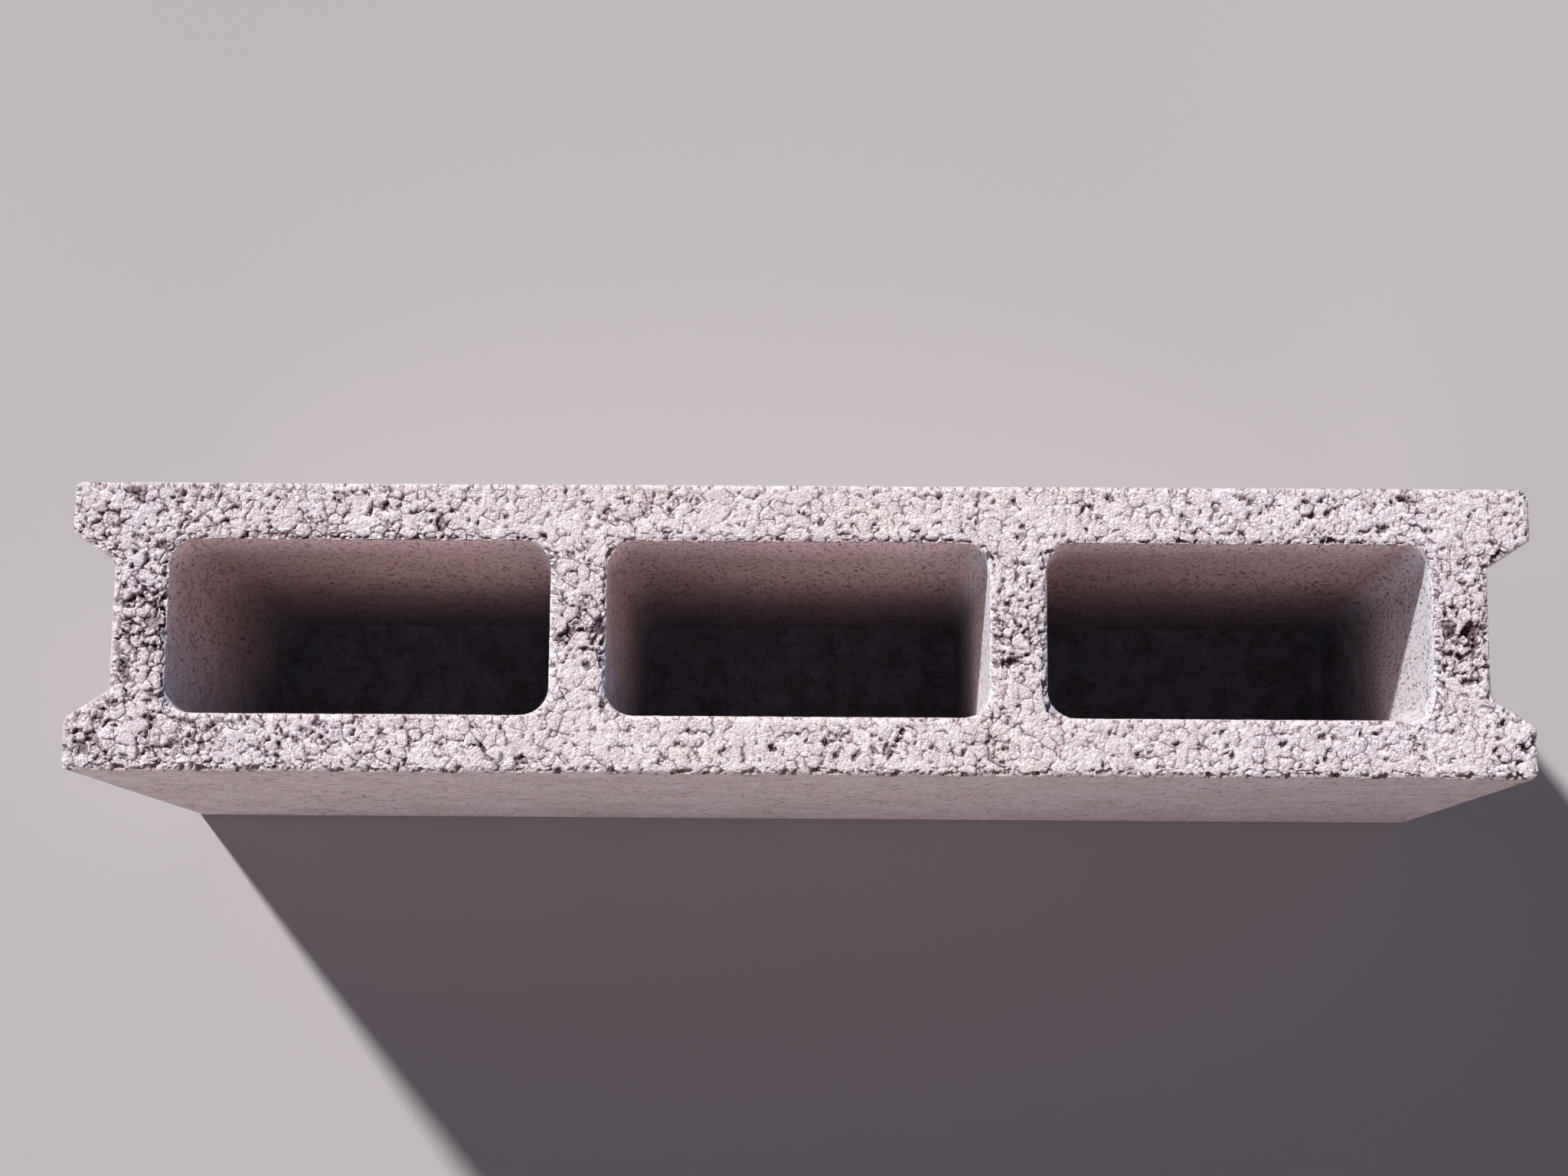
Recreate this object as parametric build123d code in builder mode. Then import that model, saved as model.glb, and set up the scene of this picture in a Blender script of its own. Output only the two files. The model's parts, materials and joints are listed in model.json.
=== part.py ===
from build123d import *
from math import atan, degrees
import os

# Hollow concrete block of the 50 x 20 x 10 cm size, pressed in one piece from coarse gravel concrete.
# Three blind cores open upwards, and an upright mortar groove runs down each end.
# Millimetres. Origin at the middle of the bottom bed, +X along the length, +Y to the back, +Z up.

# Outside
block_length = 500.0
block_thickness = 100.0
block_height = 200.0
ear_radius = 2.5  # upright outer corners

# Walls, measured on the top bed
face_shell = 20.0  # between a core and a long face
middle_web = 19.5  # between two cores
end_web = 19.0  # between the last core and the end groove
bottom_skin = 12.0  # under the cores

# Cores, which narrow from mouth to floor so that the block leaves its mould
core_count = 3
core_draft = 2.5  # how far each core wall leans in over the core's depth
core_corner_radius = 9.5  # upright corners, at the mouth
core_foot_radius = 4.0  # where the walls run into the floor

# Mortar grooves in the two ends, wider at the mouth than at the bottom
groove_depth = 15.0
groove_mouth = 64.0
groove_bottom = 45.0
groove_lip_radius = 2.0
groove_corner_radius = 3.0

# What follows from the sizes above
half_length = block_length / 2
half_thickness = block_thickness / 2
groove_bottom_x = half_length - groove_depth
core_row = 2 * (groove_bottom_x - end_web)
core_length = (core_row - (core_count - 1) * middle_web) / core_count
core_width = block_thickness - 2 * face_shell
core_pitch = core_length + middle_web
core_depth = block_height - bottom_skin
core_draft_angle = degrees(atan(core_draft / core_depth))

with BuildPart() as block:
    # Plan outline: a quarter of it, from the middle of the back face to the middle of an end groove
    with BuildSketch():
        with BuildLine():
            FilletPolyline(
                (0, half_thickness),
                (half_length, half_thickness),
                (half_length, groove_mouth / 2),
                (groove_bottom_x, groove_bottom / 2),
                (groove_bottom_x, 0),
                radius=(ear_radius, groove_lip_radius, groove_corner_radius),
            )
            mirror(about=Plane.XZ)
            mirror(about=Plane.YZ)
        make_face()
    extrude(amount=block_height)

    # Cores, cut downwards from the top bed
    with BuildSketch(Plane.XY.offset(block_height)):
        with GridLocations(core_pitch, 0, core_count, 1):
            RectangleRounded(core_length, core_width, core_corner_radius)
    extrude(amount=-core_depth, taper=core_draft_angle, mode=Mode.SUBTRACT)

    # Rounded feet of the core walls
    core_floors = block.faces().filter_by(Axis.Z).group_by(Axis.Z)[1]
    fillet(core_floors.edges(), radius=core_foot_radius)

block.part.label = "block"

os.makedirs("parts", exist_ok=True)
export_step(block.part, "parts/block.step")
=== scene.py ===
"""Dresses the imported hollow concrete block: coarse beds, pored faces, worn arrises, floor and light."""

import json
import math
from collections import namedtuple

import bmesh
import bpy
from bpy.props import FloatProperty, FloatVectorProperty, PointerProperty
from mathutils import Euler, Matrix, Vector

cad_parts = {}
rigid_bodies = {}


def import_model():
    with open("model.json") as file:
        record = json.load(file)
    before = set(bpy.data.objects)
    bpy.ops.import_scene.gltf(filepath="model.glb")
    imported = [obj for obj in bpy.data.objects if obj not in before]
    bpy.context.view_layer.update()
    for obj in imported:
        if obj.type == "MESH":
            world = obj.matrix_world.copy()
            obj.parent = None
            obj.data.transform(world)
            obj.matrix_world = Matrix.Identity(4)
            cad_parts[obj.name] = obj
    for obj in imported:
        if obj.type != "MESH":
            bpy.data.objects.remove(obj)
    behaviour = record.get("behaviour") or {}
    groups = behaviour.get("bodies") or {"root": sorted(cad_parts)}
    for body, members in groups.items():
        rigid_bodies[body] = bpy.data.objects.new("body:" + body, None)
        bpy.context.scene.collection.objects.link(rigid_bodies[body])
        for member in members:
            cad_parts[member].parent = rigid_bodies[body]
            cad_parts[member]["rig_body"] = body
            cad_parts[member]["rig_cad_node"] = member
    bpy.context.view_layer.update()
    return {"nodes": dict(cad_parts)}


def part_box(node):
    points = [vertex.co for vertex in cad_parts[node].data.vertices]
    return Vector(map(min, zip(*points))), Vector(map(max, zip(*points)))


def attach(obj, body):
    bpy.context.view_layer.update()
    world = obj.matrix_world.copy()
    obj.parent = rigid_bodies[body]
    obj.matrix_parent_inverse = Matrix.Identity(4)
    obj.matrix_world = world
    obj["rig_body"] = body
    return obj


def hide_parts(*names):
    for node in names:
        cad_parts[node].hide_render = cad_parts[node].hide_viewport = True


bl_info = {
    "name": "Hollow concrete block",
    "version": (1, 0, 0),
    "blender": (4, 5, 0),
    "location": "View3D > Sidebar > Concrete block",
    "description": "Gives the cast block its coarse beds, pored faces and worn arrises",
    "category": "Object",
}

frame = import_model()

MM = 0.001

# The block, in millimetres
BLOCK_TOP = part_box("block")[1].z / MM
CORE_FLOOR = 12.0
SHELL_INSIDE = 30.0  # from the middle plane to a core wall along the length
CORE_ROW_END = 216.0  # from the middle plane to the far wall of the last core

# Marks of the moulding on the top bed, in millimetres
BAR_MIDDLE = -1.0  # across the thickness, of the core bar that ran the length of the block
BAR_HALF_WIDTH = 12.0
LEDGE_MIDDLE = 4.4  # across the thickness, of the straight ledge in the left web
LEDGE_HALF_WIDTH = 1.6
LEDGE_END = -219.0  # along the length, where the ledge coming from the end groove fades out

# Skin of the moulded faces, in millimetres
PORE_RADIUS = 1.5  # of the largest pores
PORE_DEPTH = 1.1  # of the deepest pores
WAVE_DEPTH = 0.22

# Painted shade and painted light in the cores, as heights above the bottom bed in millimetres
SHADE_BELOW = 130.0
FOOT_LIGHT_BELOW = 75.0
FEET = 14.0  # where the walls meet the floor

# Mesh, with its lengths in millimetres
BODY_MESH = 1.2
BED_CUTS = 2  # cuts into each body quad on the top bed
BED_SKIN = 4.0  # how far below the top bed the finer mesh reaches
BED_DROP = 0.15  # keeps the stones that stand highest inside the solid
TRIANGLES = 196000
SHARP_ANGLE = math.radians(50)

# Stage: places in metres, angles in degrees
FLOOR_SIZE = 8.0
LIGHT_DISTANCE = 2.0
KEY_DIRECTION = (321.9, 45.5)  # bearing clockwise from +Y, and elevation
KEY_SPREAD = 3.0
KEY_TINT = (1.0, 0.98, 0.97)
FILL_DIRECTION = (160.0, 8.0)
FILL_SPREAD = 40.0
FILL_TINT = (1.0, 0.81, 0.82)
SKY_TINT = (0.86, 0.88, 1.10)
BACKDROP_STRENGTH = 0.8
CAMERA_PLACE = (0.00654, -0.12998, 1.07636)
CAMERA_TURN = (9.333, 0.675, 0.452)
CAMERA_LENS = 59.69
CAMERA_SENSOR = 36.0

# Holes left by stones that fell out of the top bed: middle x and y, half length, half width and depth
HOLE_FILL = 0.38  # share of that depth which the chips at the bottom of a hole take up
HOLLOWS = (
    # Left end
    (-235, 34.5, 3, 1.5, 3),
    (-228, 31.5, 2.5, 2, 3),
    (-218.5, 28, 2.5, 1.8, 3.5),
    (-215, 31, 1.5, 1.5, 2),
    (-213.5, 45, 1.3, 1.6, 3),
    (-211, 38.5, 1.3, 1.4, 3),
    (-202.5, 45, 1.6, 1.2, 3),
    (-194, 41, 2.5, 1.5, 3.5),
    (-197.5, 43.5, 2.5, 1, 2.5),
    (-221, 1, 4, 4, 3),
    (-228, -5, 2, 4, 2.5),
    (-229, -13, 2, 1.5, 2.5),
    (-228.5, -19, 2, 2, 3.5),
    (-219.5, -8.5, 2, 2, 3),
    (-216, -3, 2.5, 3, 3),
    (-217, -26, 1.5, 1.5, 3),
    (-238.5, -27, 2.2, 1.4, 3),
    (-232.5, -27.5, 1.6, 1.3, 3),
    (-213, -30, 2.5, 1.4, 2.5),
    (-243, -42.5, 3, 3.2, 3.5),
    (-229, -45, 1.6, 1.6, 3),
    (-219, -33.5, 2, 1.2, 3),
    (-195.5, -35.5, 1.5, 1.5, 2),
    (-167, -35.8, 3, 0.8, 3),
    (-183, -42.5, 1.6, 0.9, 3),
    # Between the left and the middle core
    (-142.5, 41.5, 2, 1.3, 4),
    (-128.5, 39.5, 1.6, 1.2, 3),
    (-116, 33, 4, 0.7, 2),
    (-87.5, 31.5, 1.6, 1.6, 4),
    (-83.8, 24, 1.3, 3, 3),
    (-78, 25, 2, 1.8, 3),
    (-64, 36.5, 3, 1, 3),
    (-58.5, 43.5, 0.9, 1.6, 3),
    (-73.5, 10.8, 2, 1, 2.5),
    (-68, 7.5, 1.6, 1, 3),
    (-76, 2, 3, 1, 3),
    (-67, 0, 4, 3.6, 4),
    (-66.5, -12, 2, 4, 3),
    (-84.5, -1, 2.2, 2.4, 2.5),
    (-83.5, -9.5, 1.3, 1.6, 3),
    (-72, -13, 2.2, 2, 3.5),
    (-65.5, -28, 1.3, 2.2, 3),
    (-141.5, -37, 1.8, 2.5, 3),
    (-144.5, -46, 1.6, 1.2, 3),
    (-121, -41, 1.6, 1.3, 3),
    (-100, -45, 2, 1, 2.5),
    # Middle core
    (-45, 32, 2, 2.2, 4),
    (15.5, 32.5, 1.7, 2, 4),
    (38, 43, 1.6, 1.3, 4),
    (-8.5, -40.5, 1.1, 2, 4),
    (-25, -41.5, 2.5, 0.8, 3),
    (30, -41, 0.7, 3, 3),
    (46, -40.5, 1.8, 1.2, 3),
    # Between the middle and the right core
    (56, 46.5, 1.6, 1, 3),
    (75, 32.5, 2.3, 1.1, 3.5),
    (65, 22, 1.3, 4.5, 3.5),
    (80, 15.5, 1.3, 1.1, 3.5),
    (68, 3, 2.3, 1.8, 4),
    (75, 1.5, 1.6, 1.1, 4),
    (83, 3, 2.4, 4, 3),
    (83, -0.8, 2, 1.8, 3),
    (72.5, -11, 3.5, 1.8, 5),
    (66.5, -12, 1.8, 3, 3.5),
    (72, -7.8, 4, 0.7, 3),
    (62, -28, 1.8, 1, 3),
    (58, -30.5, 2.6, 0.8, 3),
    (69, -41, 2.6, 1, 3.5),
    (131, 40, 1.6, 1, 3),
    (147, -42, 1.3, 1.3, 3.5),
    # Right end
    (164, 45.5, 1.6, 1, 3.5),
    (197.5, 44.5, 0.9, 2.2, 3),
    (200, 35.5, 2.4, 2.2, 3.5),
    (206, 39, 1.1, 0.9, 3),
    (231, 17.5, 1.8, 0.8, 3),
    (217, 15, 0.9, 6, 3),
    (235, 10.5, 1.2, 1.6, 3.5),
    (217.5, 2.5, 1.4, 2.6, 4.5),
    (222.5, 2, 2.5, 2, 4),
    (229.5, 2, 4.5, 2.2, 5),
    (221, -7, 4, 1, 4),
    (230.5, -7.5, 4, 1, 3),
    (219, -11.5, 3, 1.6, 4.5),
    (228.5, -16.5, 3.5, 1.1, 3.5),
    (217, -19, 0.9, 2.2, 3),
    (215.5, -26, 2.4, 1.1, 3.5),
    (205.5, -31, 3.5, 0.8, 3),
    (192, -31, 2.5, 0.7, 2.5),
    (177.5, -36, 2.2, 1.6, 3.5),
    (164, -38.5, 1.8, 1, 3.5),
    (238, -31, 2, 1.1, 4),
    (243.5, -29.8, 3.4, 0.8, 3),
    (249.5, -37, 2, 2.4, 5),
    (245, -39.5, 3.5, 1.6, 5),
    (243, -43.5, 2, 1.1, 4),
    (236.8, -42, 1.2, 1.6, 3.5),
    # Corners of the ears
    (249.5, 49.5, 3.4, 2.4, 3.5),
    (250, -49.5, 1.6, 3, 3),
    (-250, -33, 2.4, 2, 3),
    (-250, 33, 1.6, 2.4, 2.5),
)


class BlockFinish(bpy.types.PropertyGroup):
    """Sizes and colours of the concrete's skin"""

    stone_size: FloatProperty(
        name="Stone size",
        description="Mean width of the larger stones in the mix",
        default=4.4 * MM,
        unit="LENGTH",
    )
    chip_size: FloatProperty(
        name="Chip size",
        description="Mean width of the broken stone between the larger stones",
        default=1.6 * MM,
        unit="LENGTH",
    )
    arris_wear: FloatProperty(
        name="Arris wear",
        description="How deep the deepest stones are broken out along the edges of the top bed",
        default=2.6 * MM,
        unit="LENGTH",
    )
    pore_size: FloatProperty(
        name="Pore size",
        description="Mean distance between the pores of the moulded faces",
        default=6.5 * MM,
        unit="LENGTH",
    )
    bed_colour: FloatVectorProperty(
        name="Bed colour",
        description="Colour of the stones in the open beds",
        default=(0.935, 0.87, 0.925),
        subtype="COLOR",
    )
    face_colour: FloatVectorProperty(
        name="Face colour",
        description="Colour of the outer faces that lay against the mould",
        default=(0.70, 0.61, 0.59),
        subtype="COLOR",
    )
    # The walls inside the cores are the same concrete as the outer faces; their warmer, redder colour is
    # painted shade, for the reddish shade deep in the cores.
    wall_colour: FloatVectorProperty(
        name="Wall colour",
        description="Colour of the walls inside the cores",
        default=(0.79, 0.63, 0.635),
        subtype="COLOR",
    )
    # The crevice colour is painted shade, for the shade down in the gaps, seams, specks and pores.
    crevice_colour: FloatVectorProperty(
        name="Crevice colour",
        description="Colour of the damp cement down in the gaps and pores",
        default=(0.19, 0.085, 0.125),
        subtype="COLOR",
    )
    # The core shade colour is painted shade: dark and bluish, for the shade deep in the cores and on the
    # shaded end walls.
    core_shade_colour: FloatVectorProperty(
        name="Damp colour",
        description="Colour of the damp concrete at the closed bottom of the cores",
        default=(0.27, 0.31, 0.42),
        subtype="COLOR",
    )


class StageFinish(bpy.types.PropertyGroup):
    """Floor and light round the block"""

    floor_colour: FloatVectorProperty(
        name="Floor colour",
        description="Colour of the plain floor",
        default=(0.465, 0.44, 0.45),
        subtype="COLOR",
    )
    key_strength: FloatProperty(
        name="Key strength",
        description="Strength of the key light",
        default=4.1,
    )
    fill_strength: FloatProperty(
        name="Fill strength",
        description="Strength of the low fill light on the shaded side",
        default=0.98,
    )
    sky_strength: FloatProperty(
        name="Sky strength",
        description="Strength of the light from all round, near the horizon",
        default=0.6,
    )


# Fields: values worked out by the nodes of a tree, in geometry and material trees alike


class Field:
    """A number or a vector that varies over the surface."""

    def __init__(self, tree, socket):
        self.tree = tree
        self.socket = socket

    def __add__(self, other):
        return calculate(self.tree, "ADD", self, other)

    def __sub__(self, other):
        return calculate(self.tree, "SUBTRACT", self, other)

    def __rsub__(self, other):
        return calculate(self.tree, "SUBTRACT", other, self)

    def __mul__(self, other):
        return calculate(self.tree, "MULTIPLY", self, other)

    def __pow__(self, other):
        return calculate(self.tree, "POWER", self, other)

    def __abs__(self):
        return calculate(self.tree, "ABSOLUTE", self)

    def least(self, other):
        return calculate(self.tree, "MINIMUM", self, other)

    def most(self, other):
        return calculate(self.tree, "MAXIMUM", self, other)

    def step(self, start, end):
        """0 at start and before it, 1 at end and after it, with a smooth rise between them."""
        low, high = min(start, end), max(start, end)
        at_low, at_high = (0.0, 1.0) if start < end else (1.0, 0.0)
        settings = {"interpolation_type": "SMOOTHSTEP"}
        inputs = {"Value": self, "From Min": low, "From Max": high, "To Min": at_low, "To Max": at_high}
        return add_node(self.tree, "ShaderNodeMapRange", inputs, settings)["Result"]

    def towards(self, other, share):
        """This value where share is 0, the other where it is 1."""
        return self + (other - self) * share


class NodeOutputs:
    """The outputs of a node, read by name as fields."""

    def __init__(self, tree, node):
        self.tree = tree
        self.node = node

    def __getitem__(self, name):
        return Field(self.tree, self.node.outputs[name])


def put(tree, socket, value):
    """Gives a node's input a field, or else a plain value."""
    if isinstance(value, Field):
        tree.links.new(value.socket, socket)
    else:
        socket.default_value = value


def add_node(tree, kind, inputs=None, settings=None):
    node = tree.nodes.new(kind)
    for name, value in (settings or {}).items():
        setattr(node, name, value)
    for name, value in (inputs or {}).items():
        put(tree, node.inputs[name], value)
    return NodeOutputs(tree, node)


def calculate(tree, operation, first, second=None):
    node = tree.nodes.new("ShaderNodeMath")
    node.operation = operation
    put(tree, node.inputs[0], first)
    if second is not None:
        put(tree, node.inputs[1], second)
    return Field(tree, node.outputs[0])


def vector_math(tree, operation, first, second=None, scale=None, output="Vector"):
    node = tree.nodes.new("ShaderNodeVectorMath")
    node.operation = operation
    put(tree, node.inputs[0], first)
    if second is not None:
        put(tree, node.inputs[1], second)
    if scale is not None:
        put(tree, node.inputs["Scale"], scale)
    return Field(tree, node.outputs[output])


def split(vector):
    parts = add_node(vector.tree, "ShaderNodeSeparateXYZ", {"Vector": vector})
    return parts["X"], parts["Y"], parts["Z"]


def noise(place, size, detail=2.0, roughness=0.5, output="Fac"):
    """Smooth noise from 0 to 1, with features of the given size in millimetres."""
    inputs = {"Vector": place, "Scale": 1.0 / size, "Detail": detail, "Roughness": roughness}
    return add_node(place.tree, "ShaderNodeTexNoise", inputs)[output]


def cells(place, size, feature="F1"):
    """Random cells of the given mean size in millimetres."""
    inputs = {"Vector": place, "Scale": 1.0 / size}
    return add_node(place.tree, "ShaderNodeTexVoronoi", inputs, {"feature": feature})


def stirred(place, size, reach):
    """The place moved about by noise, so that a pattern read there has no straight lines."""
    tree = place.tree
    wave = noise(place, size, output="Color")
    centred = vector_math(tree, "SUBTRACT", wave, (0.5, 0.5, 0.5))
    offset = vector_math(tree, "SCALE", centred, scale=2.0 * reach)
    return vector_math(tree, "ADD", place, offset)


# Relief of the pressed concrete, as depths in millimetres below the moulded surface

Stones = namedtuple("Stones", "depth random")


def stones(place, size, shoulder, rise, parted):
    """Broken stones side by side, each with its own level and lean, and a gap round it where parted."""
    tree = place.tree
    nearest = cells(place, size)
    random = nearest["Color"]
    level = split(random)[0]
    lean = vector_math(tree, "SUBTRACT", random, (0.5, 0.5, 0.5))
    from_middle = vector_math(tree, "SUBTRACT", place, nearest["Position"])
    slope = vector_math(tree, "DOT_PRODUCT", from_middle, lean, output="Value") * (2.0 / size)
    edge = cells(place, size, "DISTANCE_TO_EDGE")["Distance"] * size
    inset = 1.0 - (edge * (1.0 / shoulder)).least(1.0)
    return Stones((level + slope) * rise + inset ** 2.0 * parted, random)


def bent_place(place):
    """The place stirred as the stones are, so that none has a straight side."""
    return stirred(stirred(place, 6.0, 1.4), 1.7, 0.7)


def looseness(place):
    """How loose the mix lies: dense in the face shells, open in the webs, most of all under the bar."""
    x, y, _ = split(place)
    web = abs(y).step(SHELL_INSIDE + 2.0, SHELL_INSIDE - 2.0)
    bar = abs(y - BAR_MIDDLE).step(BAR_HALF_WIDTH + 3.0, BAR_HALF_WIDTH - 3.0) * web
    ends = x.step(-60.0, -180.0) * 0.28 + x.step(60.0, 200.0) * 0.06
    patches = noise(place, 16.0, 2.0) - 0.5
    return (web * 0.12 + bar * 0.23 + ends + patches + 0.10).most(0.0).least(1.0)


def ledge(place):
    """1 on the straight ledge that the core bar left across the left web."""
    x, y, _ = split(place)
    beside = abs(y - LEDGE_MIDDLE).step(LEDGE_HALF_WIDTH, LEDGE_HALF_WIDTH - 0.4)
    return beside * x.step(LEDGE_END, LEDGE_END - 3.0)


def parting(place, loose):
    """How far the stones lie apart: closed up in most places, open along short seams."""
    return (noise(place, 3.0, 1.0) + loose * 0.20).step(0.45, 0.61)


def clumps(stone, place, loose):
    """1 where a large stone is a clump of chips, as most are at the right end, 0 where it is whole."""
    towards_right_end = split(place)[0].step(50.0, 190.0)
    return (split(stone)[1] + loose * 0.4 + towards_right_end * 0.3).step(0.40, 0.42)


def coarse_relief(place, finish):
    """The open texture of the beds: large stones and clumps of chips, of which some fell out."""
    bent = bent_place(place)
    loose = looseness(place)
    parted = parting(place, loose)
    large = stones(bent, finish.stone_size / MM, shoulder=0.6, rise=0.75, parted=parted * 1.1)
    small = stones(bent, finish.chip_size / MM, shoulder=0.4, rise=0.45, parted=parted * 0.5)
    clump = clumps(large.random, place, loose)
    fallen_stone = (split(large.random)[2] + loose * 0.02).step(0.99, 0.995)
    fallen_chip = (split(small.random)[2] + loose * 0.14).step(0.975, 0.98) * clump
    gap = noise(bent, 1.9, 1.0).step(0.62, 0.73)
    chips = small.depth * (loose * 0.8 + 0.5) * (clump * 0.6 + 0.4)
    packed = large.depth + chips + clump * 0.1 + gap * (loose * 0.8 + 0.4)
    planed = (packed * (loose * 0.8 + 0.7) - 0.38).most(0.0)
    crumbs = noise(place, 1.1, 2.0) * 0.35
    worn = planed + crumbs + fallen_stone * 1.4 + fallen_chip * 1.3
    return worn * (1.0 - ledge(place) * 0.85) + BED_DROP


def hollows(place, holes, finish):
    """Depth of the listed holes, whose outlines follow the chips round them."""
    tree = place.tree
    bent = bent_place(place)
    chip = cells(bent, finish.chip_size / MM)["Position"]
    towards_chip = vector_math(tree, "SUBTRACT", chip, bent)
    ragged = vector_math(tree, "ADD", place, towards_chip)

    listed = add_node(tree, "GeometryNodeObjectInfo", {"Object": holes})["Geometry"]
    in_metres = vector_math(tree, "SCALE", ragged, scale=MM)
    search = {"Geometry": listed, "Sample Position": in_metres}
    nearest = add_node(tree, "GeometryNodeSampleNearest", search)["Index"]

    def of_nearest(name):
        value = named_attribute(tree, name, "FLOAT_VECTOR")
        inputs = {"Geometry": listed, "Value": value, "Index": nearest}
        return add_node(tree, "GeometryNodeSampleIndex", inputs, {"data_type": "FLOAT_VECTOR"})["Value"]

    half_size = of_nearest("half_size")
    from_middle = vector_math(tree, "SUBTRACT", ragged, of_nearest("middle"))
    measured = vector_math(tree, "DIVIDE", from_middle, half_size)
    reach = vector_math(tree, "LENGTH", measured, output="Value")
    return reach.step(1.0, 0.60) * split(half_size)[2] * (1.0 - HOLE_FILL)


def fine_relief(place, finish):
    """The skin against the mould walls, with its pores."""
    spacing = finish.pore_size / MM
    waves = noise(place, 14.0, 2.0) * WAVE_DEPTH
    pores = cells(stirred(place, 3.0, 1.0), spacing)
    radius = split(pores["Color"])[0] ** 3.0 * PORE_RADIUS
    depth = (radius - pores["Distance"] * spacing).most(0.0)
    return waves + depth.least(PORE_DEPTH)


def broken_arris(place, distance, finish):
    """Stones broken out along the sharp edges, most of all round the top bed."""
    _, y, z = split(place)
    stone = cells(stirred(place, 2.0, 0.7), 1.9)["Color"]
    upper = z.step(BLOCK_TOP - 12.0, BLOCK_TOP - 4.0) * 0.7 + 0.3
    front_rims = abs(y + SHELL_INSIDE).step(4.0, 2.0)
    back_rims = abs(y - SHELL_INSIDE).step(4.0, 2.0)
    calm = front_rims * 0.8 + back_rims * 0.5
    lost = split(stone)[2].step(0.55, 1.0) * upper * (1.0 - calm) * (finish.arris_wear / MM)
    near = (distance - lost * 0.6).step(0.4, -0.3)
    nibbled = (noise(place, 1.8, 1.0) - 0.38).most(0.0) * (1.0 - calm) * upper
    return near * lost + distance.step(1.3, 0.2) * (nibbled * 2.2 + 0.1)


def named_attribute(tree, name, kind="FLOAT"):
    inputs = {"Name": name}
    return add_node(tree, "GeometryNodeInputNamedAttribute", inputs, {"data_type": kind})["Attribute"]


def find_pale_tones_and_painted_light(place, normal, in_cores):
    """How pale the moulded faces are, from a paler tone at the rims and from painted light on the core
    walls, and how much painted shade they take, both from 0 to 1.
    """
    _, y, z = split(place)
    facing_x, facing_y, facing_z = split(normal)
    on_east_walls = facing_x.step(-0.1, -0.9) * in_cores
    on_west_walls = facing_x.step(0.4, 0.9) * in_cores
    upright_but_front = facing_y.step(-0.9, -0.5) * facing_z.step(0.8, 0.5)
    on_rims = z.step(BLOCK_TOP - 4.0, BLOCK_TOP - 1.5) * upright_but_front
    # Painted light at the feet of the core walls, which lifts the shade where they meet the floor.
    painted_foot_light = z.step(FOOT_LIGHT_BELOW, FEET) * in_cores

    # Painted light: the core walls that face the key light are paler, and the front of the west walls
    # paler and cooler for the bluish light in their shade.
    painted_wall_light = on_east_walls * z.step(10.0, 60.0) * 0.9 + on_west_walls * y.step(10.0, -25.0) * 0.6
    pale = painted_wall_light.most(on_rims * 0.4).most(painted_foot_light * 0.65)
    # Painted shade: darker and bluer towards the floor of the cores, and on the parts of the end walls
    # that the key light does not reach.
    low = z.step(SHADE_BELOW, 30.0) * 0.40 + z.step(50.0, FEET) * 0.2 + z.step(16.0, 12.5) * 0.4
    shaded = on_west_walls * y.step(25.0, -25.0) * 0.75 + on_east_walls * z.step(135.0, 85.0) * 0.5
    return pale, (low * in_cores + shaded).least(1.0)


def store_attributes(tree, geometry, rows):
    """Stores the value of each row on the geometry in turn, so that a row can read those before it."""
    for name, kind, value, selection in rows:
        inputs = {"Geometry": geometry, "Name": name, "Value": value, "Selection": selection}
        stored = add_node(tree, "GeometryNodeStoreNamedAttribute", inputs, {"data_type": kind})
        geometry = stored["Geometry"]
    return geometry


def inward_direction(normal, from_arris, arris_distance):
    """Into the block: against the smoothed normal, and away from a sharp edge that is near."""
    tree = normal.tree
    smoothing = {"Value": normal, "Iterations": 3}
    blurred = add_node(tree, "GeometryNodeBlurAttribute", smoothing, {"data_type": "FLOAT_VECTOR"})
    outward = vector_math(tree, "NORMALIZE", blurred["Value"])
    across = vector_math(tree, "NORMALIZE", from_arris)
    leaning = vector_math(tree, "SCALE", across, scale=arris_distance.step(4.0, 0.5))
    return vector_math(tree, "NORMALIZE", vector_math(tree, "SUBTRACT", leaning, outward))


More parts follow.
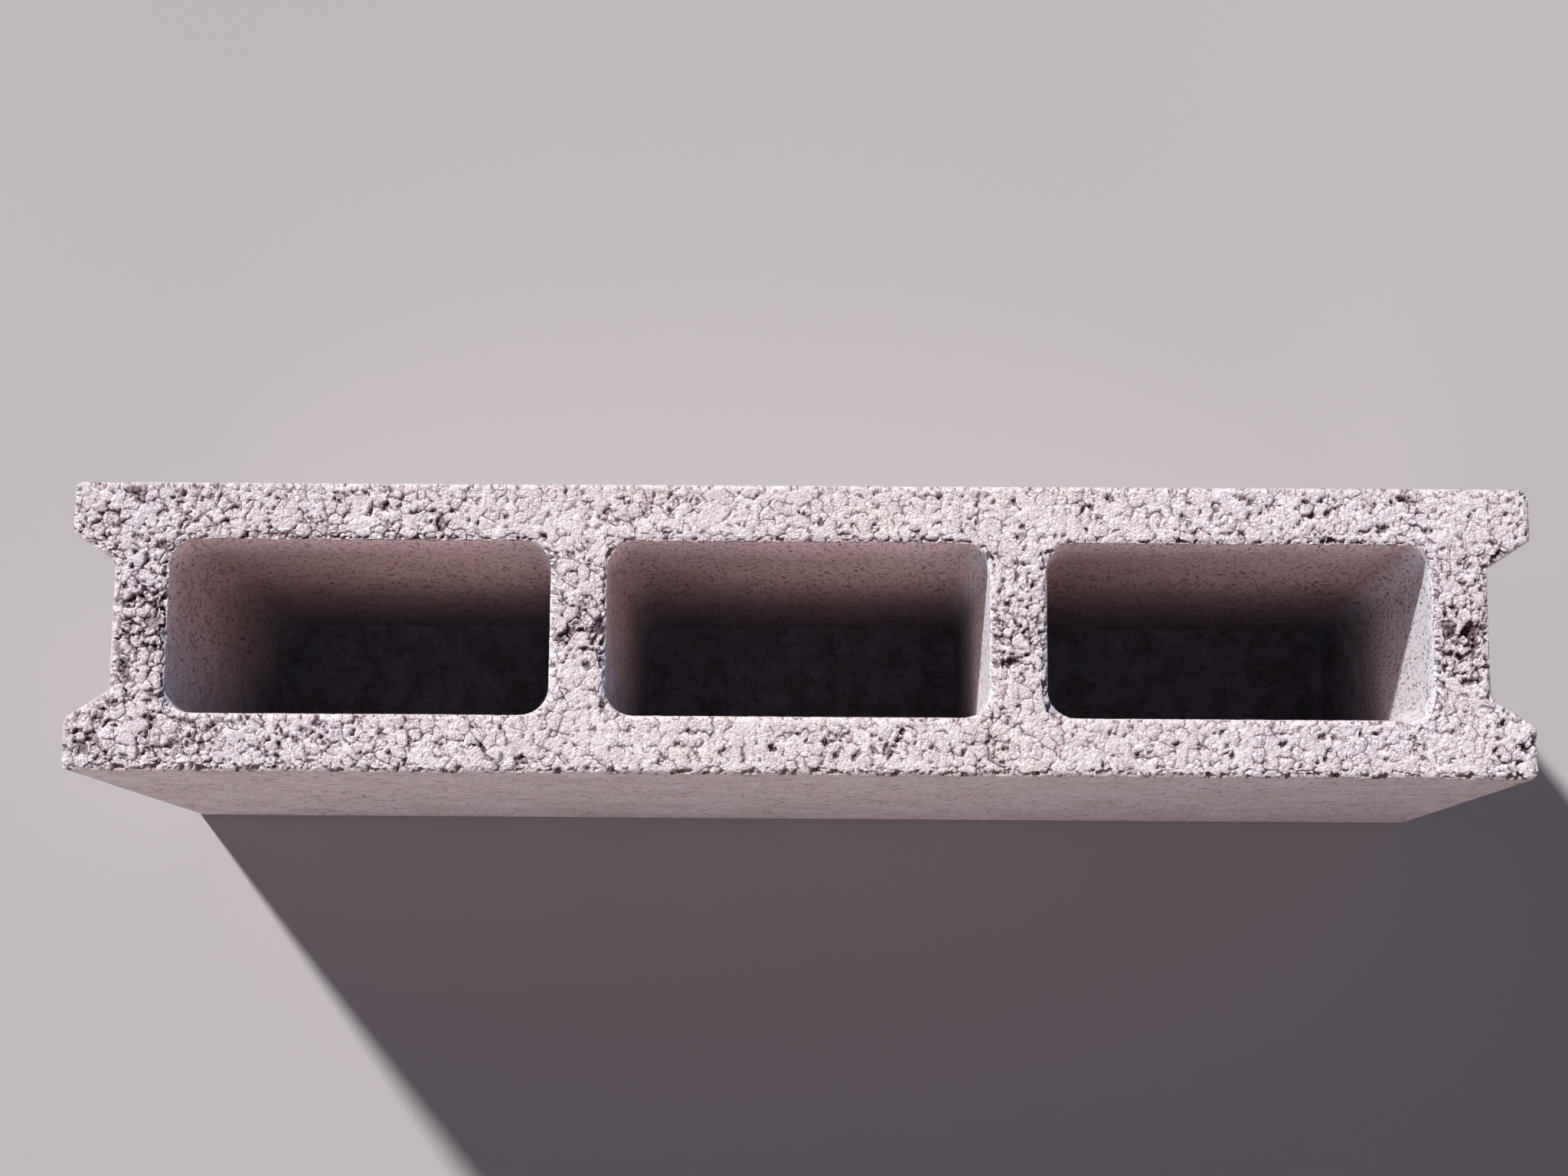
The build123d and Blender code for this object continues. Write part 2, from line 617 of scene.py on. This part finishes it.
def build_relief_tree(arrises, holes, finish):
    """Geometry nodes that sink the surface by its relief, inwards only."""
    tree = bpy.data.node_groups.new("Block relief", "GeometryNodeTree")
    tree.interface.new_socket("Geometry", in_out="INPUT", socket_type="NodeSocketGeometry")
    tree.interface.new_socket("Geometry", in_out="OUTPUT", socket_type="NodeSocketGeometry")
    start = add_node(tree, "NodeGroupInput")
    end = tree.nodes.new("NodeGroupOutput")

    position = add_node(tree, "GeometryNodeInputPosition")["Position"]
    normal = add_node(tree, "GeometryNodeInputNormal")["Normal"]
    place = vector_math(tree, "SCALE", position, scale=1.0 / MM)
    x, y, z = split(place)

    edges = add_node(tree, "GeometryNodeObjectInfo", {"Object": arrises})["Geometry"]
    closest = add_node(tree, "GeometryNodeProximity", {"Geometry": edges}, {"target_element": "EDGES"})
    arris_distance = closest["Distance"] * (1.0 / MM)
    from_arris = vector_math(tree, "SUBTRACT", position, closest["Position"])

    facing_front = split(normal)[1].step(-0.5, -0.9)
    ragged = noise(place, 3.2, 1.0) * 2.0 - 0.6 - facing_front * 0.7
    top_coarse = (BLOCK_TOP - z - ragged).step(0.9, 0.2).most((z - BLOCK_TOP).step(-0.3, -0.1))
    between_shells = abs(y).step(SHELL_INSIDE + 4.0, SHELL_INSIDE + 2.0)
    in_cores = between_shells * abs(x).step(CORE_ROW_END + 4.0, CORE_ROW_END + 2.0)
    floor_coarse = (z - CORE_FLOOR - ragged).step(3.0, 0.5) * in_cores
    coarse = top_coarse.most(floor_coarse)
    near_top = calculate(tree, "GREATER_THAN", z, BLOCK_TOP - 9.0)
    rough = near_top.most(floor_coarse)
    bent = bent_place(place)
    stone = cells(bent, finish.stone_size / MM)["Color"]
    loose = looseness(place)

    pale, damp = find_pale_tones_and_painted_light(place, normal, in_cores)
    broken_out = named_attribute(tree, "arris_depth").step(0.5, 1.2)
    pit_sizes = {"X": in_cores * 0.8 + 0.9, "Y": in_cores * 0.8 + 0.9, "Z": 1.2 - in_cores * 0.5}
    pit_scale = add_node(tree, "ShaderNodeCombineXYZ", pit_sizes)["Vector"]

    stone_depth = named_attribute(tree, "coarse_depth") * coarse
    top_depth = stone_depth.most(named_attribute(tree, "hollow_depth"))
    bed_depth = top_depth + named_attribute(tree, "floor_depth")
    face_depth = named_attribute(tree, "fine_depth") * (1.0 - coarse)
    worn_depth = bed_depth + face_depth + named_attribute(tree, "arris_depth")
    stored = store_attributes(tree, start["Geometry"], (
        ("moulded_place", "FLOAT_VECTOR", place, True),
        # Painted shade deep in the cores and on the shaded end walls.
        ("damp", "FLOAT", damp, True),
        ("inside", "FLOAT", in_cores, True),
        # Paler tone at the rims, and painted light on the core walls and at their feet.
        ("pale", "FLOAT", pale, True),
        ("pit_place", "FLOAT_VECTOR", vector_math(tree, "MULTIPLY", place, pit_scale), True),
        ("bent_place", "FLOAT_VECTOR", bent, True),
        ("stone_shade", "FLOAT", split(stone)[0], rough),
        ("clump", "FLOAT", clumps(stone, place, loose), rough),
        ("parting", "FLOAT", parting(place, loose), rough),
        ("coarse_depth", "FLOAT", coarse_relief(place, finish), near_top),
        ("floor_depth", "FLOAT", noise(bent, 4.0, 2.0) * 1.6, floor_coarse),
        ("fine_depth", "FLOAT", fine_relief(place, finish), calculate(tree, "LESS_THAN", coarse, 1.0)),
        ("arris_depth", "FLOAT", broken_arris(place, arris_distance, finish), True),
        ("hollow_depth", "FLOAT", hollows(place, holes, finish), near_top),
        ("coarse", "FLOAT", coarse * (1.0 - broken_out * 0.9), True),
        # Painted shade: the deeper the bed lies below the moulded surface, the more it is painted in the
        # crevice colour.
        ("gloom", "FLOAT", bed_depth.step(0.9, 2.6), True),
        ("depth", "FLOAT", worn_depth, True),
    ))
    inward = inward_direction(normal, from_arris, arris_distance)
    offset = vector_math(tree, "SCALE", inward, scale=named_attribute(tree, "depth") * MM)
    moved = add_node(tree, "GeometryNodeSetPosition", {"Geometry": stored, "Offset": offset})
    put(tree, end.inputs["Geometry"], moved["Geometry"])
    return tree


# Concrete

Skin = namedtuple("Skin", "place grain sand clouds damp")


def mixed_colour(first, second, share):
    """The first colour where share is 0, the second where it is 1."""
    tree = share.tree
    node = tree.nodes.new("ShaderNodeMix")
    node.data_type = "RGBA"
    colour_inputs = [socket for socket in node.inputs if socket.type == "RGBA"]
    put(tree, node.inputs["Factor"], share)
    for socket, colour in zip(colour_inputs, (first, second)):
        put(tree, socket, colour if isinstance(colour, Field) else (*colour, 1.0))
    colour_output = [socket for socket in node.outputs if socket.type == "RGBA"][0]
    return Field(tree, colour_output)


def tinted(colour, red, green, blue):
    return (colour[0] * red, colour[1] * green, colour[2] * blue)


def stained(colour, tint, share):
    """The colour where share is 0, the colour times the tint where it is 1."""
    return mixed_colour(colour, vector_math(share.tree, "MULTIPLY", colour, tint), share)


def surface_attribute(tree, name, output="Fac"):
    return add_node(tree, "ShaderNodeAttribute", settings={"attribute_name": name})[output]


def bed_look(skin, finish):
    """Colour and height of the open beds: stones and chips with dark seams between them, and painted
    shade in the seams, specks and deeper places.
    """
    tree = skin.place.tree
    stone_size = finish.stone_size / MM
    chip_size = finish.chip_size / MM
    bent = surface_attribute(tree, "bent_place", "Vector")
    parted = surface_attribute(tree, "parting")
    chipped = (surface_attribute(tree, "clump") * 0.3 + 0.7) * (1.0 - skin.damp)
    chip = cells(bent, chip_size)

    seam = cells(bent, stone_size, "DISTANCE_TO_EDGE")["Distance"] * stone_size
    chip_seam = cells(bent, chip_size, "DISTANCE_TO_EDGE")["Distance"] * chip_size
    crack = (seam + skin.grain * 0.5).step(0.62, 0.38) * parted.step(0.25, 0.65)
    chip_crack = (chip_seam + skin.grain * 0.4).step(0.40, 0.24) * (parted * 0.6 + 0.4) * chipped
    speck = skin.grain.step(0.43, 0.33)
    shadow = (crack * 0.75).most(chip_crack * 0.5).most(speck * 0.35)

    bed = tuple(finish.bed_colour)
    crevice = tuple(finish.crevice_colour)
    dark_stone = tinted(bed, 0.92, 0.90, 0.91)
    light_stone = tinted(bed, 1.06, 1.08, 1.07)
    shade = surface_attribute(tree, "stone_shade") * 0.5 + split(chip["Color"])[0] * 0.5
    colour = mixed_colour(dark_stone, light_stone, shade.step(0.2, 0.8))
    middle = abs(split(skin.place)[0]).step(190.0, 30.0)
    cream = middle * 0.3 + split(chip["Color"])[1].step(0.55, 0.75) * 0.3 + skin.clouds * 0.3
    colour = stained(colour, (1.02, 0.97, 0.88), cream)
    # Painted shade: the seams, specks and deeper places are painted in the crevice colour; the seams are
    # also dark joints between the stones.
    colour = mixed_colour(colour, crevice, shadow)
    colour = mixed_colour(colour, tinted(crevice, 0.85, 1.15, 1.0), surface_attribute(tree, "gloom"))

    from_chip = chip["Distance"] + skin.grain * 0.35
    height = skin.grain * 1.1 + skin.sand * 0.25 - from_chip.step(0.45, 0.90) * chipped * 0.2
    return colour, height


def wall_look(skin, finish):
    """Colour and height of the moulded faces: mottled, with fine pits in painted shade, and paler places:
    a paler tone at the rims and painted light on the core walls.
    """
    tree = skin.place.tree
    inside = surface_attribute(tree, "inside")
    pit_place = surface_attribute(tree, "pit_place", "Vector")
    mottle = noise(pit_place, 3.6, 4.0, 0.65)
    pale = surface_attribute(tree, "pale") * (1.0 - mottle.step(0.48, 0.66) * 0.3)
    pit = (noise(pit_place, 2.1, 2.0, 0.6) + pale * 0.04).step(0.60, 0.69)
    towards_right_end = split(skin.place)[0].step(0.0, 240.0)

    colour = mixed_colour(tuple(finish.face_colour), tuple(finish.wall_colour), inside)
    colour = stained(colour, (0.89, 0.87, 0.85), 1.0 - skin.clouds)
    colour = stained(colour, (0.66, 0.57, 0.53), mottle.step(0.47, 0.68) * (inside * 0.4 + 0.6))
    colour = stained(colour, (0.50, 0.49, 0.52), towards_right_end * 0.34)
    # Paler tone at the rims, and painted light on the core walls.
    colour = mixed_colour(colour, tinted(tuple(finish.bed_colour), 0.95, 1.03, 1.03), pale)
    # Painted shade in the pits and down in the deeper places.
    colour = stained(colour, (0.36, 0.30, 0.31), pit * (1.0 - pale * 0.2))
    colour = mixed_colour(colour, tuple(finish.crevice_colour), surface_attribute(tree, "gloom") * 0.75)

    height = skin.grain * (0.4 - inside * 0.18) + skin.sand * 0.15 - pit * 0.35
    return colour, height


def core_shade_look(skin, finish):
    """Colour of the painted shade deep in the cores, in blotches."""
    core_shade_colour = tuple(finish.core_shade_colour)
    deeper_shade = tinted(core_shade_colour, 0.65, 0.65, 0.65)
    lighter_shade = tinted(core_shade_colour, 1.25, 1.25, 1.3)
    blotches = noise(skin.place, 9.0, 4.0, 0.6).step(0.35, 0.65)
    return mixed_colour(deeper_shade, lighter_shade, blotches)


def build_concrete(finish):
    material = bpy.data.materials.new("concrete")
    material.use_nodes = True
    tree = material.node_tree
    tree.nodes.clear()
    place = surface_attribute(tree, "moulded_place", "Vector")
    coarse = surface_attribute(tree, "coarse")
    skin = Skin(
        place=place,
        grain=noise(place, 1.0, 3.0, 0.65),
        sand=noise(place, 0.45, 2.0, 0.6),
        clouds=noise(place, 26.0, 3.0).step(0.3, 0.7),
        damp=surface_attribute(tree, "damp"),
    )
    bed_colour, bed_height = bed_look(skin, finish)
    wall_colour, wall_height = wall_look(skin, finish)
    colour_before_shade = mixed_colour(wall_colour, bed_colour, coarse.step(0.2, 0.8))
    # Painted shade deep in the cores and on the shaded end walls.
    colour = mixed_colour(colour_before_shade, core_shade_look(skin, finish), skin.damp * 0.85)
    height = wall_height.towards(bed_height, coarse)

    shader = tree.nodes.new("ShaderNodeBsdfPrincipled")
    put(tree, shader.inputs["Base Color"], colour)
    shader.inputs["Roughness"].default_value = 0.92
    shader.inputs["Specular IOR Level"].default_value = 0.2
    bump = add_node(tree, "ShaderNodeBump", {"Height": height, "Distance": MM})
    put(tree, shader.inputs["Normal"], bump["Normal"])
    output = tree.nodes.new("ShaderNodeOutputMaterial")
    tree.links.new(shader.outputs["BSDF"], output.inputs["Surface"])
    return material


# Steps


def select_only(piece):
    bpy.ops.object.select_all(action="DESELECT")
    piece.select_set(True)
    bpy.context.view_layer.objects.active = piece


def apply_modifier(piece, kind, **settings):
    modifier = piece.modifiers.new(kind.title(), kind)
    modifier.show_viewport = False
    for name, value in settings.items():
        setattr(modifier, name, value)
    bpy.ops.object.modifier_apply(modifier=modifier.name)


def copy_of_node(name, piece_name):
    """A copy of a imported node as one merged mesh, free of the frame."""
    select_only(frame["nodes"][name])
    bpy.ops.object.duplicate()
    piece = bpy.context.active_object
    piece.name = piece.data.name = piece_name
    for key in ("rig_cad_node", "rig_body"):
        if key in piece:
            del piece[key]
    bpy.ops.object.mode_set(mode="EDIT")
    bpy.ops.mesh.select_all(action="SELECT")
    bpy.ops.mesh.remove_doubles(threshold=1e-6)
    bpy.ops.object.mode_set(mode="OBJECT")
    return piece


def split_off_arrises(piece):
    """A new object that holds only the sharp edges of the piece."""
    select_only(piece)
    bpy.ops.object.mode_set(mode="EDIT")
    bpy.ops.mesh.select_mode(type="EDGE")
    bpy.ops.mesh.select_all(action="DESELECT")
    bpy.ops.mesh.edges_select_sharp(sharpness=SHARP_ANGLE)
    bpy.ops.mesh.duplicate()
    bpy.ops.mesh.separate(type="SELECTED")
    bpy.ops.mesh.select_mode(type="FACE")
    bpy.ops.object.mode_set(mode="OBJECT")
    return [item for item in bpy.context.selected_objects if item != piece][0]


def mark_hollows():
    """A new object with a vertex for each listed hole, which carries its middle and its half sizes."""
    mesh = bpy.data.meshes.new("hollows")
    mesh.vertices.add(len(HOLLOWS))
    middles = mesh.attributes.new("middle", "FLOAT_VECTOR", "POINT")
    half_sizes = mesh.attributes.new("half_size", "FLOAT_VECTOR", "POINT")
    for number, (x, y, half_x, half_y, depth) in enumerate(HOLLOWS):
        mesh.vertices[number].co = Vector((x, y, BLOCK_TOP)) * MM
        middles.data[number].vector = (x, y, BLOCK_TOP)
        half_sizes.data[number].vector = (half_x, half_y, depth)
    holes = bpy.data.objects.new("hollows", mesh)
    bpy.context.collection.objects.link(holes)
    return holes


def refine_top(piece):
    """Divides the faces of the top bed and of the skin just below it."""
    bpy.ops.object.mode_set(mode="EDIT")
    mesh = bmesh.from_edit_mesh(piece.data)
    start = (BLOCK_TOP - BED_SKIN) * MM
    for face in mesh.faces:
        face.select_set(face.calc_center_median().z > start)
    bmesh.update_edit_mesh(piece.data)
    bpy.ops.mesh.subdivide(number_cuts=BED_CUTS)
    bpy.ops.object.mode_set(mode="OBJECT")


def count_triangles(piece):
    return sum(len(polygon.vertices) - 2 for polygon in piece.data.polygons)


class BLOCK_OT_cast(bpy.types.Operator):
    """Casts the block: its solid with a coarse top bed, pored faces and worn arrises"""

    bl_idname = "concrete_block.cast"
    bl_label = "Cast block"

    def execute(self, context):
        finish = context.scene.block_finish
        piece = copy_of_node("block", "cast_block")
        arrises = split_off_arrises(piece)
        select_only(piece)
        apply_modifier(piece, "REMESH", mode="VOXEL", voxel_size=BODY_MESH * MM)
        refine_top(piece)

        holes = mark_hollows()
        apply_modifier(piece, "NODES", node_group=build_relief_tree(arrises, holes, finish))
        bpy.data.objects.remove(arrises)
        bpy.data.objects.remove(holes)
        apply_modifier(piece, "DECIMATE", ratio=TRIANGLES / count_triangles(piece))

        bpy.ops.object.shade_smooth()
        piece.data.materials.clear()
        piece.data.materials.append(build_concrete(finish))
        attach(piece, "root")
        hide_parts("block")
        return {"FINISHED"}


class BLOCK_OT_stage(bpy.types.Operator):
    """Lays the floor, hangs the lights and sets up the camera"""

    bl_idname = "concrete_block.stage"
    bl_label = "Stage"

    def execute(self, context):
        settings = context.scene.stage_finish
        lay_floor(settings)
        hang_light("key_light", KEY_DIRECTION, settings.key_strength, KEY_SPREAD, KEY_TINT)
        hang_light("fill_light", FILL_DIRECTION, settings.fill_strength, FILL_SPREAD, FILL_TINT)
        context.scene.world = build_world(settings)
        context.scene.camera = place_camera()
        context.scene.view_settings.view_transform = "Standard"
        return {"FINISHED"}


def lay_floor(settings):
    bpy.ops.mesh.primitive_plane_add(size=FLOOR_SIZE)
    floor = bpy.context.active_object
    floor.name = "floor"
    material = bpy.data.materials.new("floor")
    material.use_nodes = True
    shader = material.node_tree.nodes["Principled BSDF"]
    shader.inputs["Base Color"].default_value = (*settings.floor_colour, 1.0)
    shader.inputs["Roughness"].default_value = 0.9
    floor.data.materials.append(material)


def place_camera():
    """The camera above the block, where the photograph was taken from."""
    bpy.ops.object.camera_add(location=CAMERA_PLACE)
    camera = bpy.context.active_object
    camera.name = "camera"
    camera.rotation_euler = Euler([math.radians(angle) for angle in CAMERA_TURN], "XYZ")
    camera.data.lens = CAMERA_LENS
    camera.data.sensor_width = CAMERA_SENSOR
    return camera


def hang_light(name, direction, strength, spread, colour):
    """A far lamp that the block sees in the given direction."""
    turn, rise = (math.radians(angle) for angle in direction)
    level = math.cos(rise)
    toward = Vector((math.sin(turn) * level, math.cos(turn) * level, math.sin(rise)))
    bpy.ops.object.light_add(type="SUN", location=toward * LIGHT_DISTANCE)
    lamp = bpy.context.active_object
    lamp.name = name
    lamp.rotation_euler = toward.to_track_quat("Z", "Y").to_euler()
    lamp.data.energy = strength
    lamp.data.angle = math.radians(spread)
    lamp.data.color = colour


def build_world(settings):
    """Light from all round, strongest near the horizon, as from the pale walls of a studio."""
    world = bpy.data.worlds.new("studio")
    world.use_nodes = True
    tree = world.node_tree
    background = tree.nodes["Background"]
    direction = add_node(tree, "ShaderNodeTexCoord")["Generated"]
    height = split(direction)[2]
    strength = (1.0 - height.most(0.0).least(1.0)) ** 1.5 * settings.sky_strength
    seen = add_node(tree, "ShaderNodeLightPath")["Is Camera Ray"]
    put(tree, background.inputs["Strength"], strength.towards(BACKDROP_STRENGTH, seen))
    background.inputs["Color"].default_value = (*SKY_TINT, 1.0)
    return world


class BLOCK_PT_steps(bpy.types.Panel):
    """Lists the steps that make the block"""

    bl_idname = "BLOCK_PT_steps"
    bl_label = "Concrete block"
    bl_space_type = "VIEW_3D"
    bl_region_type = "UI"
    bl_category = "Concrete block"

    def draw(self, context):
        for settings in (context.scene.block_finish, context.scene.stage_finish):
            for name in settings.__annotations__:
                self.layout.prop(settings, name)
        for step in STEPS:
            self.layout.operator(step.bl_idname)


STEPS = (BLOCK_OT_cast, BLOCK_OT_stage)
CLASSES = (BlockFinish, StageFinish, *STEPS, BLOCK_PT_steps)


def register():
    for item in CLASSES:
        bpy.utils.register_class(item)
    bpy.types.Scene.block_finish = PointerProperty(type=BlockFinish)
    bpy.types.Scene.stage_finish = PointerProperty(type=StageFinish)


def unregister():
    del bpy.types.Scene.stage_finish
    del bpy.types.Scene.block_finish
    for item in reversed(CLASSES):
        bpy.utils.unregister_class(item)


def main():
    register()
    bpy.ops.concrete_block.cast()
    bpy.ops.concrete_block.stage()


if __name__ == "__main__":
    main()
